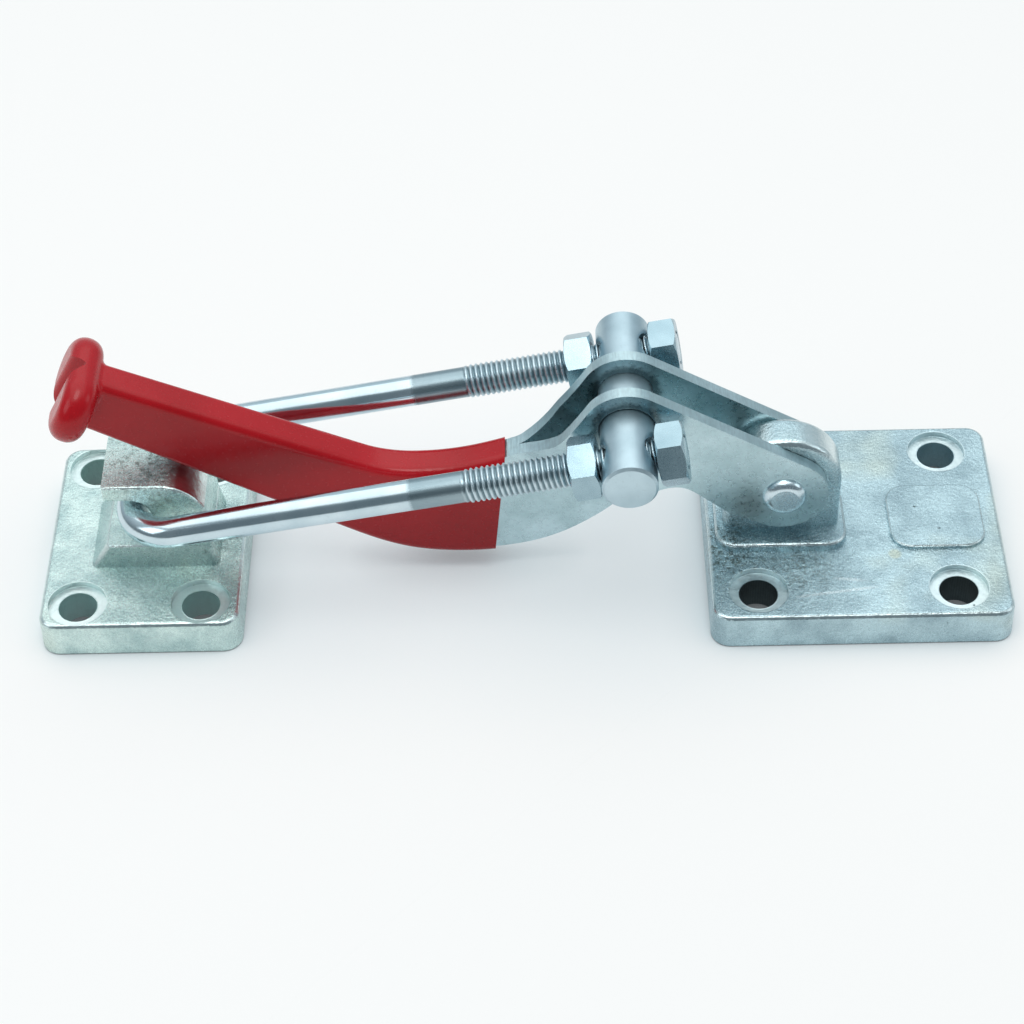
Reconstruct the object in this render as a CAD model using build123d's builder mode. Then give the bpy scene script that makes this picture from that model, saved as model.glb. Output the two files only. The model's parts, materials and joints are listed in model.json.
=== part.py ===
from build123d import *
import os
from math import acos, asin, atan2, cos, degrees, hypot, radians, sin, sqrt

# Pull-action toggle clamp, shown open with its U-bolt hooked on the latch plate.
# Millimetres, +Z up, +X from the latch towards the base plate's stop pad.
# The origin is the centre of the base plate's four holes, on the mounting plane.

# ---------------------------------------------------------------- sizes
# cast plates
plate_thickness = 9.5
plate_draft = 1.5              # degrees, on the side walls
plate_edge_round = 1.1
plate_foot_round = 0.6         # round the lower edge
mounting_hole = 9.0            # for M8 screws
counterbore = 13.7
counterbore_depth = 1.4

base_length = 70.2
base_width = 63.0
base_corner_radius = 4.5
base_shift = 0.7               # plate centre from the centre of its holes
base_hole_spacing_x = 46.5
base_hole_spacing_y = 45.0

latch_centre_offset = 1.0      # centre of the holes from the closed end's axis
latch_length = 47.0
latch_width = 60.0
latch_corner_radius = 4.5
latch_shift = 0.3              # plate centre from the centre of its holes
latch_hole_spacing_x = 28.8
latch_hole_spacing_y = 45.0

# lug that carries the pivot, and the raised pads of the base plate
pivot_x = -16.9
pivot_height = 25.5
lug_radius = 13.6
lug_crown_rise = 0.2           # the lug's round top is centred this far above the pivot
lug_thickness = 9.0
lug_edge_round = 1.7
lug_pad_length = 31.0
lug_pad_width = 20.6
lug_pad_height = 2.3
lug_pad_corner = 5.0
lug_pad_round = 0.8
stop_pad_x = 20.2
stop_pad_length = 22.4
stop_pad_width = 20.4
stop_pad_height = 1.0
stop_pad_corner = 5.0
stop_pad_round = 0.45

# pivot rivet
rivet_diameter = 8.0
rivet_head_diameter = 10.2
rivet_head_height = 1.8
rivet_facet_diameter = 6.4

# handle: two stamped plates, spread at the pivot and flat together in the grip
sheet = 3.0
plate_side_gap = 0.15          # between the lug and each handle plate
handle_end_radius = 10.2
hump_radius = 10.4
pin_hole_edge_round = 0.5
jog_lean = 52.5                # degrees, the bend lines' lean from vertical
jog_start = 12.5               # from the trunnion pin, across the bend lines
jog_length = 10.6
jog_bend_radius = 6.0          # to the middle of the sheet
sheet_joint_x = -120.0         # where the jog's run of sheet meets the T end's, in the grip

# T end of the handle
tee_x = -177.8
tee_z = 56.35
tee_lean = 28.0                # degrees from vertical
tee_half_span = 11.6
tee_half_height = 6.3
tee_bend_radius = 3.0          # to the middle of the sheet

# grip sleeve
sleeve_wall = 1.4               # on the handle's flat sides
sleeve_rim_wall = 0.7          # over the sheets' edges
sleeve_edge_round = 2.1
sleeve_end_top_x = -76.0
sleeve_end_bottom_x = -85.0
sleeve_end_top_z = 90.0        # the two x values are this far apart in height
tee_sleeve_wall = 2.35         # the sleeve is thicker on the ears
tee_sleeve_margin = 2.2        # past the ears' edges
tee_sleeve_round = 3.6
tee_neck_fillet = 1.8
sleeve_tee_cut = 1.0           # where the sleeve's body stops inside its ears
tee_groove_half_width = 3.0
tee_groove_depth = 3.6
tee_groove_bottom_round = 0.8
tee_groove_shoulder_round = 3.4
grown_steps = 12
core_web_length = 4.0
core_web_width = 0.9

# trunnion pin, U-bolt and nuts
pin_from_pivot_x = -36.6
pin_from_pivot_z = 21.9
pin_diameter = 12.6
pin_length = 53.2
pin_chamfer = 0.6
cross_hole_clearance = 1.1     # over the thread, in diameter
rod_angle = 10.8               # degrees below horizontal, towards the latch
leg_offset = 17.4              # middle plane to leg axis
shank_diameter = 7.2
thread_diameter = 7.9
thread_length = 51.0
thread_chamfer = 0.7
loop_reach = 117.0             # pin axis to the closed end's axis
loop_bend_radius = 11.0
nut_across_flats = 13.0
nut_height = 6.2
nut_gap = 0.5                  # between a nut and the pin
nut_chamfer_depth = 0.55
nut_chamfer_width = 0.95
nut_turns = {"near_outer": 4.0, "far_outer": 12.0, "near_inner": 32.0, "far_inner": -32.0}

# hook of the latch plate, measured from the closed end's axis
hook_half_width = 10.4
hook_edge_round = 0.7
lip_top = 9.5
lip_front = -5.8               # the lip's free edge, on the side away from the base plate
lip_underside = 5.2            # at the free edge
lip_flat_end = 6.5
crown_radius = 11.9
hook_back = 17.3
throat_clearance = 1.3         # radial, round the U-bolt's closed end
throat_lower_angle = -35.0     # degrees, where the throat turns down to the plinth
throat_foot = 1.6
neck_spread = 0.7              # how far the hook's back leans out on the way down
plinth_height = 6.4
plinth_foot_start = -11.2
plinth_foot_end = 19.1
plinth_foot_width = 22.4
plinth_top_start = -6.9
plinth_top_end = 17.9
plinth_top_width = 20.8
plinth_corner = 1.6
plinth_round = 0.6

# handle outline, as points from the trunnion pin: along the top of the grip, then back along the belly
hump_end_angle = 150.0
shoulder_points = [
    (-12.5, -0.3), (-17.6, -6.4), (-24.0, -10.6), (-31.0, -13.2), (-38.0, -15.0), (-48.5, -16.0),
]
shoulder_end_point = (-61.5, -13.2)
shoulder_start_slope = (-0.50, -0.866)
belly_start_point = (-68.0, -32.0)
belly_points = [
    (-52.3, -39.9), (-36.1, -41.9), (-26.0, -40.9), (-17.3, -38.2), (-9.5, -33.6), (-2.9, -28.1),
    (7.7, -19.3), (12.8, -18.6), (17.0, -21.2), (21.8, -25.3),
]
belly_end_angle = -115.0       # round the pivot
belly_end_slope = (0.906, -0.423)

# clearances
rivet_clearance = 0.05         # radial, in the lug
pin_clearance = 0.08           # radial, in the handle plates
nut_clearance = 0.05           # radial, over the thread
match = 0.01                   # how near an edge must lie to a plane to be picked there

# ---------------------------------------------------------------- worked-out places
pin_x = pivot_x + pin_from_pivot_x
pin_z = pivot_height + pin_from_pivot_z
rod_dir = Vector(cos(radians(rod_angle)), 0, sin(radians(rod_angle)))
loop_x = pin_x - loop_reach * rod_dir.X
loop_z = pin_z - loop_reach * rod_dir.Z
plate_inner_y = lug_thickness / 2 + plate_side_gap
plate_outer_y = plate_inner_y + sheet
pin_radius = pin_diameter / 2
cross_hole = thread_diameter + cross_hole_clearance
throat_radius = shank_diameter / 2 + throat_clearance

os.makedirs("parts", exist_ok=True)


def at_pivot(dx, dz):
    """A point of the X-Z plane, given from the pivot."""
    return (pivot_x + dx, pivot_height + dz)


def at_pin(dx, dz):
    """A point of the X-Z plane, given from the trunnion pin."""
    return (pin_x + dx, pin_z + dz)


def at_loop(dx, dz):
    """A point of the X-Z plane, given from the axis of the U-bolt's closed end."""
    return (loop_x + dx, loop_z + dz)


def counterbored_holes(spacing_x, spacing_y, centre_x):
    """Four counterbored screw holes, cut from the plate's top face."""
    with Locations(Plane.XY.offset(plate_thickness)):
        with Locations((centre_x, 0)):
            with GridLocations(spacing_x, spacing_y, 2, 2):
                CounterBoreHole(mounting_hole / 2, counterbore / 2, counterbore_depth, plate_thickness)


# ---------------------------------------------------------------- base plate
with BuildPart() as base_plate:
    with BuildSketch():
        with Locations((base_shift, 0)):
            RectangleRounded(base_length, base_width, base_corner_radius)
    extrude(amount=plate_thickness, taper=plate_draft)
    fillet(base_plate.edges().group_by(Axis.Z)[-1], plate_edge_round)
    fillet(base_plate.edges().group_by(Axis.Z)[0], plate_foot_round)

    with BuildSketch(Plane.XY.offset(plate_thickness)):
        with Locations((stop_pad_x, 0)):
            RectangleRounded(stop_pad_length, stop_pad_width, stop_pad_corner)
    extrude(amount=stop_pad_height)
    fillet(base_plate.edges().group_by(Axis.Z)[-1], stop_pad_round)

    with BuildSketch(Plane.XY.offset(plate_thickness)):
        with Locations((pivot_x, 0)):
            RectangleRounded(lug_pad_length, lug_pad_width, lug_pad_corner)
    extrude(amount=lug_pad_height)
    fillet(base_plate.edges().group_by(Axis.Z)[-1], lug_pad_round)

    with BuildSketch(Plane.XZ):
        with Locations(at_pivot(0, lug_crown_rise)):
            Circle(lug_radius)
            lug_foot = pivot_height + lug_crown_rise - plate_thickness
            Rectangle(2 * lug_radius, lug_foot, align=(Align.CENTER, Align.MAX))
    extrude(amount=lug_thickness / 2, both=True)
    lug_rims = base_plate.edges().filter_by(
        lambda edge: abs(abs(edge.center().Y) - lug_thickness / 2) < match
        and edge.center().Z > plate_thickness + lug_pad_height + match
    )
    fillet(lug_rims, lug_edge_round)

    with BuildSketch(Plane.XZ):
        with Locations(at_pivot(0, 0)):
            Circle(rivet_diameter / 2 + rivet_clearance)
    extrude(amount=lug_thickness, both=True, mode=Mode.SUBTRACT)
    counterbored_holes(base_hole_spacing_x, base_hole_spacing_y, 0)
base_plate.part.label = "base_plate"

# ---------------------------------------------------------------- latch plate
crown_sweep = degrees(asin((hook_back - lip_flat_end) / crown_radius))
neck_foot = plate_thickness - loop_z + plinth_height / 4
latch_centre_x = loop_x + latch_centre_offset


def on_crown(angle):
    """A point of the lip's rounded back, by its angle from the top."""
    return at_loop(
        lip_flat_end + crown_radius * sin(radians(angle)),
        lip_top - crown_radius * (1 - cos(radians(angle))),
    )


def on_throat(angle):
    """A point of the round throat behind the U-bolt's closed end."""
    return at_loop(throat_radius * cos(radians(angle)), throat_radius * sin(radians(angle)))


with BuildPart() as latch_plate:
    with BuildSketch():
        with Locations((latch_centre_x + latch_shift, 0)):
            RectangleRounded(latch_length, latch_width, latch_corner_radius)
    extrude(amount=plate_thickness, taper=plate_draft)
    fillet(latch_plate.edges().group_by(Axis.Z)[-1], plate_edge_round)
    fillet(latch_plate.edges().group_by(Axis.Z)[0], plate_foot_round)

    with BuildSketch(Plane.XY.offset(plate_thickness)):
        with Locations((loop_x + (plinth_foot_start + plinth_foot_end) / 2, 0)):
            RectangleRounded(plinth_foot_end - plinth_foot_start, plinth_foot_width, plinth_corner)
    with BuildSketch(Plane.XY.offset(plate_thickness + plinth_height)):
        with Locations((loop_x + (plinth_top_start + plinth_top_end) / 2, 0)):
            RectangleRounded(plinth_top_end - plinth_top_start, plinth_top_width, plinth_corner)
    loft()
    fillet(latch_plate.edges().group_by(Axis.Z)[-1], plinth_round)

    with BuildSketch(Plane.XZ):
        with BuildLine():
            lip_line = Line(at_loop(lip_front, lip_top), at_loop(lip_flat_end, lip_top))
            crown = ThreePointArc(lip_line @ 1, on_crown(crown_sweep / 2), on_crown(crown_sweep))
            neck = Polyline(
                crown @ 1,
                at_loop(hook_back + neck_spread, neck_foot),
                at_loop(throat_foot, neck_foot),
                on_throat(throat_lower_angle),
            )
            throat = ThreePointArc(neck @ 1, on_throat(0), on_throat(90))
            Polyline(throat @ 1, at_loop(lip_front, lip_underside), lip_line @ 0)
        make_face()
    extrude(amount=hook_half_width, both=True)
    hook_rims = latch_plate.edges().filter_by(
        lambda edge: abs(abs(edge.center().Y) - hook_half_width) < match
        and edge.center().Z > plate_thickness + plinth_height + plinth_round
    )
    fillet(hook_rims, hook_edge_round)
    counterbored_holes(latch_hole_spacing_x, latch_hole_spacing_y, latch_centre_x)
latch_plate.part.label = "latch_plate"

# ---------------------------------------------------------------- handle plates
tee_normal = Vector(-cos(radians(tee_lean)), 0, sin(radians(tee_lean)))
tee_up = Vector(sin(radians(tee_lean)), 0, cos(radians(tee_lean)))
tee_centre = Vector(tee_x, 0, tee_z)
tee_plane = Plane(origin=tee_centre, x_dir=(0, 1, 0), z_dir=tee_normal)
plan_plane = Plane(origin=tee_centre, x_dir=tee_normal, z_dir=tee_up)
jog_across = Vector(-cos(radians(jog_lean)), 0, -sin(radians(jog_lean)))
jog_along = Vector(-sin(radians(jog_lean)), 0, cos(radians(jog_lean)))
jog_plane = Plane(origin=(pin_x, 0, pin_z), x_dir=jog_across, z_dir=jog_along)
plan_reach = 190.0             # past either end of the handle
grip_reach = 110.0             # from the T end to past the sleeve's open end
plan_depth = 70.0              # tall enough to cut a plan shape through the whole profile

pin_distance = hypot(pin_from_pivot_x, pin_from_pivot_z)
pin_direction = atan2(pin_from_pivot_z, pin_from_pivot_x)
edge_normal = pin_direction - acos((handle_end_radius - hump_radius) / pin_distance)


def at_tee(along, up):
    """A point of the X-Z plane, given from the middle of the T end."""
    point = tee_centre + tee_normal * along + tee_up * up
    return (point.X, point.Z)


def on_end(angle):
    """A point of the round pivot end."""
    return at_pivot(handle_end_radius * cos(angle), handle_end_radius * sin(angle))


def on_hump(angle):
    """A point of the round hump over the trunnion pin."""
    return at_pin(hump_radius * cos(angle), hump_radius * sin(angle))


shoulder_end = at_pin(*shoulder_end_point)
belly_start = at_pin(*belly_start_point)
tee_top = at_tee(0, tee_half_height)
tee_bottom = at_tee(0, -tee_half_height)
with BuildSketch(Plane.XZ) as handle_profile:
    with BuildLine():
        upper_edge = Line(on_end(edge_normal), on_hump(edge_normal))
        hump = ThreePointArc(upper_edge @ 1, on_hump(radians(95)), on_hump(radians(hump_end_angle)))
        shoulder = Spline(
            hump @ 1, *[at_pin(*point) for point in shoulder_points], shoulder_end,
            tangents=[shoulder_start_slope, Vector(*tee_top) - Vector(*shoulder_end)],
        )
        Polyline(
            shoulder @ 1, tee_top, at_tee(sheet, tee_half_height),
            at_tee(sheet, -tee_half_height), tee_bottom, belly_start,
        )
        belly = Spline(
            belly_start, *[at_pin(*point) for point in belly_points], on_end(radians(belly_end_angle)),
            tangents=[Vector(*belly_start) - Vector(*tee_bottom), belly_end_slope],
        )
        ThreePointArc(belly @ 1, on_end(radians(-30)), on_end(edge_normal))
    make_face()

with BuildSketch(jog_plane) as jog_plan:
    with BuildLine():
        spread_y = plate_inner_y + sheet / 2
        FilletPolyline(
            (-plan_reach, spread_y), (jog_start, spread_y),
            (jog_start + jog_length, sheet / 2), (plan_reach, sheet / 2),
            radius=jog_bend_radius,
        )
    trace(line_width=sheet)

with BuildSketch(plan_plane) as tee_plan:
    with BuildLine():
        FilletPolyline((-grip_reach, sheet / 2), (0, sheet / 2), (0, tee_half_span), radius=tee_bend_radius)
    trace(line_width=sheet)

with BuildSketch(tee_plane) as ear_trim:
    Rectangle(4 * tee_half_span, 4 * tee_half_height)
    Rectangle(2 * (tee_half_span - tee_half_height), 4 * tee_half_height, mode=Mode.SUBTRACT)
    SlotOverall(2 * tee_half_span, 2 * tee_half_height, mode=Mode.SUBTRACT)

with BuildPart() as tee_run:
    extrude(tee_plan.sketch, amount=plan_depth, both=True)
    split(bisect_by=Plane.YZ.offset(sheet_joint_x), keep=Keep.BOTTOM)

with BuildPart() as bent_sheet:
    extrude(jog_plan.sketch, amount=plan_depth, both=True)
    split(bisect_by=Plane.YZ.offset(sheet_joint_x), keep=Keep.TOP)
    add(tee_run.part)

with BuildPart() as near_handle_plate:
    extrude(handle_profile.sketch, amount=tee_half_span + sheet, both=True)
    add(bent_sheet.part, mode=Mode.INTERSECT)
    extrude(ear_trim.sketch, amount=2 * sheet, both=True, mode=Mode.SUBTRACT)
    with BuildSketch(Plane.XZ):
        with Locations(at_pivot(0, 0)):
            Circle(rivet_diameter / 2)
        with Locations(at_pin(0, 0)):
            Circle(pin_radius + pin_clearance)
    extrude(amount=tee_half_span, both=True, mode=Mode.SUBTRACT)
    pin_rim = near_handle_plate.edges().filter_by(GeomType.CIRCLE).filter_by(
        lambda edge: abs(edge.radius - pin_radius - pin_clearance) < match
    )
    fillet(pin_rim.sort_by(Axis.Y)[0], pin_hole_edge_round)
near_handle_plate.part.label = "near_handle_plate"

with BuildPart() as far_handle_plate:
    mirror(near_handle_plate.part, about=Plane.XZ)
far_handle_plate.part.label = "far_handle_plate"

# ---------------------------------------------------------------- grip sleeve
def grown_spline(curve):
    """A spline that runs outside a profile curve by the sleeve's rim wall."""
    points = []
    for step in range(grown_steps + 1):
        along = curve % (step / grown_steps)
        points.append(curve @ (step / grown_steps) + Vector(along.Y, -along.X) * sleeve_rim_wall)
    return Spline(points, tangents=[curve % 0, curve % 1])


with BuildSketch(Plane.XZ) as sleeve_profile:
    with BuildLine():
        sleeve_top = grown_spline(shoulder)
        sleeve_belly = grown_spline(belly)
        Polyline(
            sleeve_top @ 1,
            sleeve_top @ 1 + Vector(*tee_top) - shoulder @ 1,
            sleeve_belly @ 0 + Vector(*tee_bottom) - belly @ 0,
            sleeve_belly @ 0,
        )
        Line(sleeve_belly @ 1, sleeve_top @ 0)
    make_face()
    with BuildLine():
        Polyline(
            (sleeve_end_top_x, sleeve_end_top_z), (sleeve_end_bottom_x, 0),
            (-plan_reach, 0), (-plan_reach, sleeve_end_top_z), (sleeve_end_top_x, sleeve_end_top_z),
        )
    make_face(mode=Mode.INTERSECT)

ear_face = sheet / 2 + tee_sleeve_wall
with BuildSketch(plan_plane) as tee_groove:
    with BuildLine():
        FilletPolyline(
            (ear_face, -tee_half_span), (ear_face, -tee_groove_half_width),
            (ear_face - tee_groove_depth, 0),
            (ear_face, tee_groove_half_width), (ear_face, tee_half_span),
            radius=(tee_groove_shoulder_round, tee_groove_bottom_round, tee_groove_shoulder_round),
        )
        Polyline(
            (ear_face, tee_half_span), (2 * ear_face, tee_half_span),
            (2 * ear_face, -tee_half_span), (ear_face, -tee_half_span),
        )
    make_face()

with BuildPart() as sleeve_wings:
    with BuildSketch(tee_plane.offset(-ear_face)):
        SlotOverall(2 * (tee_half_span + tee_sleeve_margin), 2 * (tee_half_height + tee_sleeve_margin))
    extrude(amount=2 * ear_face)
    wing_rims = sleeve_wings.edges().group_by(Axis((0, 0, 0), tee_normal))
    fillet(wing_rims[0] + wing_rims[-1], tee_sleeve_round)
    extrude(tee_groove.sketch, amount=2 * tee_half_height, both=True, mode=Mode.SUBTRACT)

# the space the two plates take up inside the sleeve, blunt where they part at the T end
with BuildSketch(plan_plane) as core_plan:
    add(tee_plan.sketch_local)
    mirror(about=Plane.XZ)
    with Locations((-tee_bend_radius, 0)):
        Rectangle(core_web_length, core_web_width)

with BuildPart() as grip_core:
    extrude(handle_profile.sketch, amount=tee_half_span + sheet, both=True)
    extrude(core_plan.sketch, amount=plan_depth, both=True, mode=Mode.INTERSECT)
    extrude(ear_trim.sketch, amount=2 * sheet, both=True, mode=Mode.SUBTRACT)

with BuildPart() as grip_sleeve:
    extrude(sleeve_profile.sketch, amount=sheet + sleeve_wall, both=True)
    with BuildSketch(plan_plane):
        with Locations((-sleeve_tee_cut, 0)):
            Rectangle(plan_reach, 4 * sheet + 4 * sleeve_wall, align=(Align.MAX, Align.CENTER))
    extrude(amount=plan_depth, both=True, mode=Mode.INTERSECT)
    long_edges = grip_sleeve.edges().filter_by(
        lambda edge: abs(abs(edge.center().Y) - sheet - sleeve_wall) < match
        and abs((edge.center() - tee_centre).dot(tee_normal) + sleeve_tee_cut) > match
        and edge.center().X < sleeve_end_bottom_x
    )
    fillet(long_edges, sleeve_edge_round)
    add(sleeve_wings.part)
    neck_edges = grip_sleeve.edges().filter_by(
        lambda edge: abs((edge.center() - tee_centre).dot(tee_normal) + ear_face) < match
        and abs(edge.center().Y) < sheet + sleeve_wall + match
    )
    fillet(neck_edges, tee_neck_fillet)
    add(grip_core.part, mode=Mode.SUBTRACT)
grip_sleeve.part.label = "grip_sleeve"

# ---------------------------------------------------------------- pivot rivet
with BuildPart() as pivot_rivet:
    across = Plane(origin=(pivot_x, 0, pivot_height), x_dir=(0, 1, 0), z_dir=(1, 0, 0))
    head_radius = rivet_head_diameter / 2
    facet_radius = rivet_facet_diameter / 2
    head_top = plate_outer_y + rivet_head_height
    dome_mid_height = 0.62 * rivet_head_height
    dome_mid_radius = facet_radius + 0.72 * (head_radius - facet_radius)
    with BuildSketch(across):
        with BuildLine():
            Polyline((0, 0), (head_top, 0), (head_top, facet_radius))
            ThreePointArc(
                (head_top, facet_radius),
                (plate_outer_y + dome_mid_height, dome_mid_radius),
                (plate_outer_y, head_radius),
            )
            Polyline(
                (plate_outer_y, head_radius), (plate_outer_y, rivet_diameter / 2),
                (0, rivet_diameter / 2), (0, 0),
            )
        make_face()
    revolve(axis=Axis((pivot_x, 0, pivot_height), (0, 1, 0)))
    mirror(about=Plane.XZ)
pivot_rivet.part.label = "pivot_rivet"

# ---------------------------------------------------------------- trunnion pin
with BuildPart() as trunnion_pin:
    with BuildSketch(Plane.XZ):
        with Locations(at_pin(0, 0)):
            Circle(pin_radius)
    extrude(amount=pin_length / 2, both=True)
    chamfer(trunnion_pin.edges().filter_by(GeomType.CIRCLE), pin_chamfer)
    for side in (-1, 1):
        with BuildSketch(Plane(origin=(pin_x, side * leg_offset, pin_z), x_dir=(0, 1, 0), z_dir=rod_dir)):
            Circle(cross_hole / 2)
        extrude(amount=pin_diameter, both=True, mode=Mode.SUBTRACT)
trunnion_pin.part.label = "trunnion_pin"

# ---------------------------------------------------------------- U-bolt
leg_end = loop_reach + pin_radius + nut_gap + nut_height
loop_plane = Plane(origin=(loop_x, 0, loop_z), x_dir=rod_dir, z_dir=(-rod_dir.Z, 0, rod_dir.X))
with BuildPart() as u_bolt:
    with BuildLine(loop_plane) as loop_path:
        FilletPolyline(
            (leg_end, -leg_offset), (0, -leg_offset), (0, leg_offset), (leg_end, leg_offset),
            radius=loop_bend_radius,
        )
    with BuildSketch(Plane(origin=loop_path.line @ 0, z_dir=loop_path.line % 0)):
        Circle(shank_diameter / 2)
    sweep()
    for side in (-1, 1):
        leg_tip = loop_plane.from_local_coords(Vector(leg_end, side * leg_offset, 0))
        with BuildSketch(Plane(origin=leg_tip, x_dir=(0, 1, 0), z_dir=rod_dir)):
            Circle(thread_diameter / 2)
        extrude(amount=-thread_length)
    leg_tips = u_bolt.edges().filter_by(GeomType.CIRCLE).group_by(Axis((0, 0, 0), rod_dir))[-1]
    chamfer(leg_tips, thread_chamfer)
u_bolt.part.label = "u_bolt"


# ---------------------------------------------------------------- nuts
def hex_nut(label, side, start, turn):
    """A chamfered hexagon nut on one leg, from a distance start along the leg."""
    seat = loop_plane.from_local_coords(Vector(start, side * leg_offset, 0))
    nut_plane = Plane(origin=seat, x_dir=(0, 1, 0), z_dir=rod_dir)
    corner_radius = nut_across_flats / sqrt(3)
    with BuildPart() as nut:
        with BuildSketch(nut_plane):
            Circle(corner_radius)
        extrude(amount=nut_height)
        chamfer(nut.edges().filter_by(GeomType.CIRCLE), length=nut_chamfer_depth, length2=nut_chamfer_width)
        with BuildSketch(nut_plane):
            RegularPolygon(nut_across_flats / 2, 6, major_radius=False, rotation=turn)
        extrude(amount=nut_height, mode=Mode.INTERSECT)
        with BuildSketch(nut_plane):
            Circle(thread_diameter / 2 + nut_clearance)
        extrude(amount=nut_height, mode=Mode.SUBTRACT)
    nut.part.label = label
    return nut


nut_sides = {"near": -1, "far": 1}
nut_starts = {
    "inner": loop_reach - pin_radius - nut_gap - nut_height,
    "outer": loop_reach + pin_radius + nut_gap,
}
nuts = [
    hex_nut(f"{where}_{row}_nut", side, start, nut_turns[f"{where}_{row}"])
    for where, side in nut_sides.items()
    for row, start in nut_starts.items()
]

# ---------------------------------------------------------------- files
pieces = [
    base_plate, latch_plate, near_handle_plate, far_handle_plate, grip_sleeve,
    pivot_rivet, trunnion_pin, u_bolt, *nuts,
]
for piece in pieces:
    export_step(piece.part, f"parts/{piece.part.label}.step")
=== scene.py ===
# %% [markdown]
# # A pull-action toggle clamp
# The clamp is a small machine: a handle turns on a cast base plate, and drags a threaded
# U-bolt that holds a cast latch plate. All sizes and joints come from the engineering
# model, which is loaded first and never changed. This lesson gives its pieces their
# surfaces, models the threads that the engineering model leaves out, and lights the whole.

# %% Load the frame
import json
import math
import bpy
from mathutils import Matrix, Vector


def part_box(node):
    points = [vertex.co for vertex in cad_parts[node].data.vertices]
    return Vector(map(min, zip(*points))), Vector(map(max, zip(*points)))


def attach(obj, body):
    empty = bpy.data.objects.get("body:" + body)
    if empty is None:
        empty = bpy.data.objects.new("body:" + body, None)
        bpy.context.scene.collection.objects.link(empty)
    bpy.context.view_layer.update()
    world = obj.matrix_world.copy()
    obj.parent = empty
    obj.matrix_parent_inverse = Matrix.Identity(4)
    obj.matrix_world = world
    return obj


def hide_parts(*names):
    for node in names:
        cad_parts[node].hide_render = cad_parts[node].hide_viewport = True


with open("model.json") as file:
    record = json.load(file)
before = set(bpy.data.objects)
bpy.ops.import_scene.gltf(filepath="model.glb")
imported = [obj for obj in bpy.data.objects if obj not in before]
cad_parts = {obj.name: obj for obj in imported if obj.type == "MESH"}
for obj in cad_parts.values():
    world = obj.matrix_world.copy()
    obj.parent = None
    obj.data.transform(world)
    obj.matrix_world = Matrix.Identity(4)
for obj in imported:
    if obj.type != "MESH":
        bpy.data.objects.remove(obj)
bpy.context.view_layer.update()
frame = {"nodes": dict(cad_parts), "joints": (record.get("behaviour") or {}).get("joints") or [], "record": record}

MM = 0.001

# %% [markdown]
# The joints tell where everything turns. The loop point is the middle of the U-bolt's
# closed end, and the pull line runs from there up through the cross pin.

# %% Key places
joints = {joint["name"]: joint for joint in frame["joints"]}
pin = Vector(joints["trunnion_turn"]["pos_m"])
loop_end = Vector(joints["latch_turn"]["pos_m"])
pull_line = Vector(joints["length_adjustment"]["axis"]).normalized()
rod_tilt = math.atan2(pull_line.z, pull_line.x)
print("reach of the U-bolt:", round((pin - loop_end).length / MM, 2), "mm")

# %% [markdown]
# Operators act on whatever is selected, so small helpers select one object before each
# step, open it with nothing picked inside it, apply a modifier or set its place. The
# first helper prints what the others are for.


# %% Selection helpers
def introduce(*helpers):
    """Prints each helper's name and the first line of its description."""
    for helper in helpers:
        print(helper.__name__ + ":", helper.__doc__.strip().splitlines()[0])


def pick(thing):
    """Selects one object and makes it active."""
    if bpy.context.object and bpy.context.object.mode != "OBJECT":
        bpy.ops.object.mode_set(mode="OBJECT")
    bpy.ops.object.select_all(action="DESELECT")
    thing.select_set(True)
    bpy.context.view_layer.objects.active = thing


def edit(thing, kind="VERT"):
    """Opens one object in edit mode with nothing selected in its mesh."""
    pick(thing)
    bpy.ops.object.mode_set(mode="EDIT")
    bpy.ops.mesh.select_mode(type=kind)
    bpy.ops.mesh.select_all(action="DESELECT")


def apply_modifier(thing, kind, **settings):
    """Adds a modifier, sets it and applies it."""
    pick(thing)
    modifier = thing.modifiers.new(kind.title(), kind)
    for name, value in settings.items():
        setattr(modifier, name, value)
    bpy.ops.object.modifier_apply(modifier=modifier.name)


def place(thing, turn):
    """Puts a matrix into the mesh, so that the object itself stays at the origin."""
    thing.matrix_world = turn
    pick(thing)
    bpy.ops.object.transform_apply(location=True, rotation=True, scale=True)


introduce(pick, edit, apply_modifier, place)

# %% [markdown]
# ## Materials
# Every finish here is metal or vinyl with no picture on it, so each is a Principled
# shader fed by noise. The noise is measured in millimetres: the object coordinates are
# multiplied by a thousand, so that a scale of 2 means two grains in a millimetre.


# %% Shader nodes
def put(tree, kind, links=None, **settings):
    """Adds a shader node. Links holds socket values, or other sockets to join."""
    node = tree.nodes.new("ShaderNode" + kind)
    for name, value in settings.items():
        setattr(node, name, value)
    for name, value in (links or {}).items():
        if isinstance(value, bpy.types.NodeSocket):
            tree.links.new(value, node.inputs[name])
        else:
            node.inputs[name].default_value = value
    return node


def start_material(name, metallic, roughness):
    """A material with one Principled shader; returns it with its tree and shader."""
    material = bpy.data.materials.new(name)
    material.use_nodes = True
    tree = material.node_tree
    tree.nodes.clear()
    shader = put(tree, "BsdfPrincipled", {"Metallic": metallic, "Roughness": roughness})
    put(tree, "OutputMaterial", {"Surface": shader.outputs["BSDF"]})
    return material, tree, shader


introduce(put, start_material)

# %% [markdown]
# A pattern can be moved, turned and drawn out. A Mapping node scales before it turns, so
# a grain along a slanting rod takes two of them, and is stretched last of all.


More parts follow.
